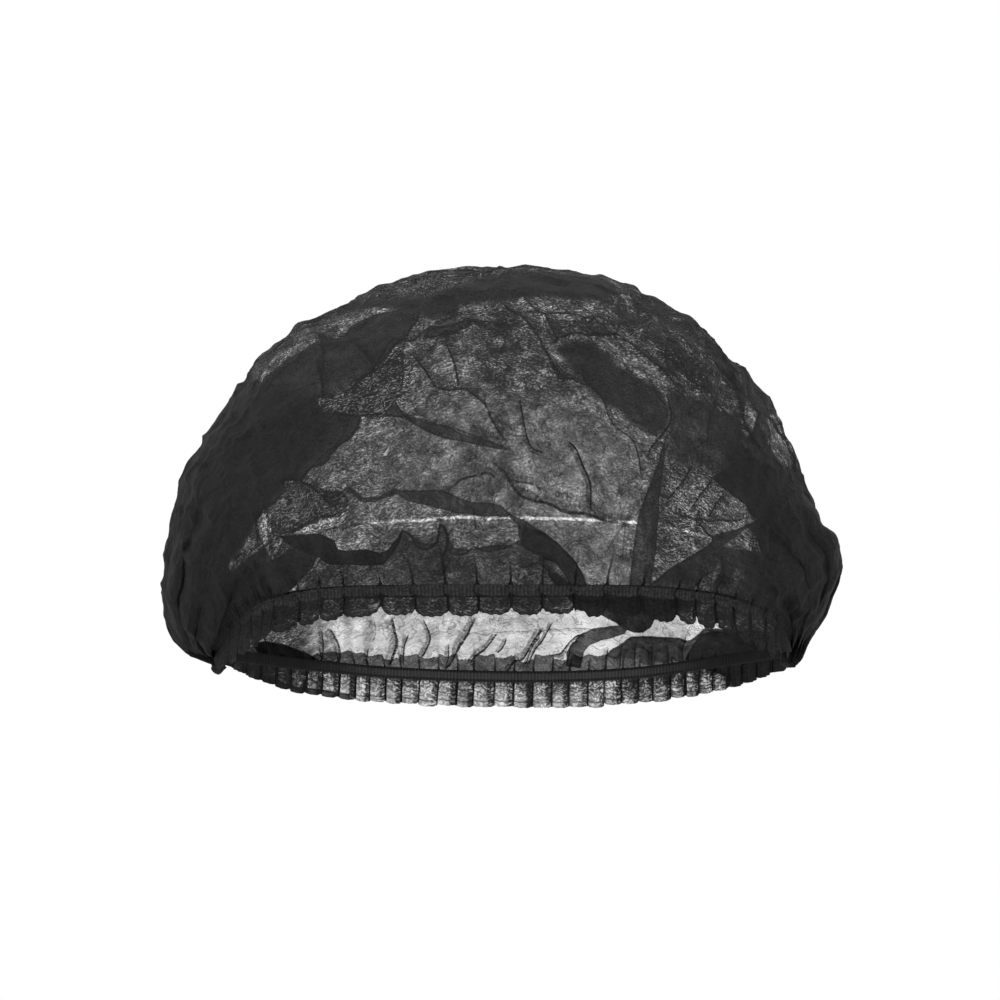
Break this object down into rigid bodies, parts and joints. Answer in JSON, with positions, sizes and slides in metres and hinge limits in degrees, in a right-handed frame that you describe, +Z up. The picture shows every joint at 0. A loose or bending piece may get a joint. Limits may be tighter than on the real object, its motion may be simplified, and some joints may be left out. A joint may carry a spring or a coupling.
{
  "type": "disposable bouffant cap",
  "caption": "Disposable cap of thin black nonwoven cloth, gathered on a front and a back elastic into a puffed hollow crown with frilled edges and welded ends.",
  "frame": {"origin": "centre of the head opening, level with the two end welds, where the cap sits on a head", "axes": "+X from the left end weld to the right one as seen in the picture, -Y towards the front of the cap, +Z up through the top of the crown"},
  "size_m": [0.2995, 0.2322, 0.1862],
  "materials": {
    "nonwoven_cloth": "thin translucent black spunbond nonwoven, crinkled and matte",
    "elastic": "narrow black elastic with cloth pleated over it in fine ribs",
    "welded_cloth": "many layers of black nonwoven pressed and welded together"
  },
  "bodies": {
    "root": {"crown": "nonwoven_cloth", "front_elastic": "elastic", "back_elastic": "elastic", "left_end_weld": "welded_cloth", "right_end_weld": "welded_cloth"}
  },
  "joints": []
}
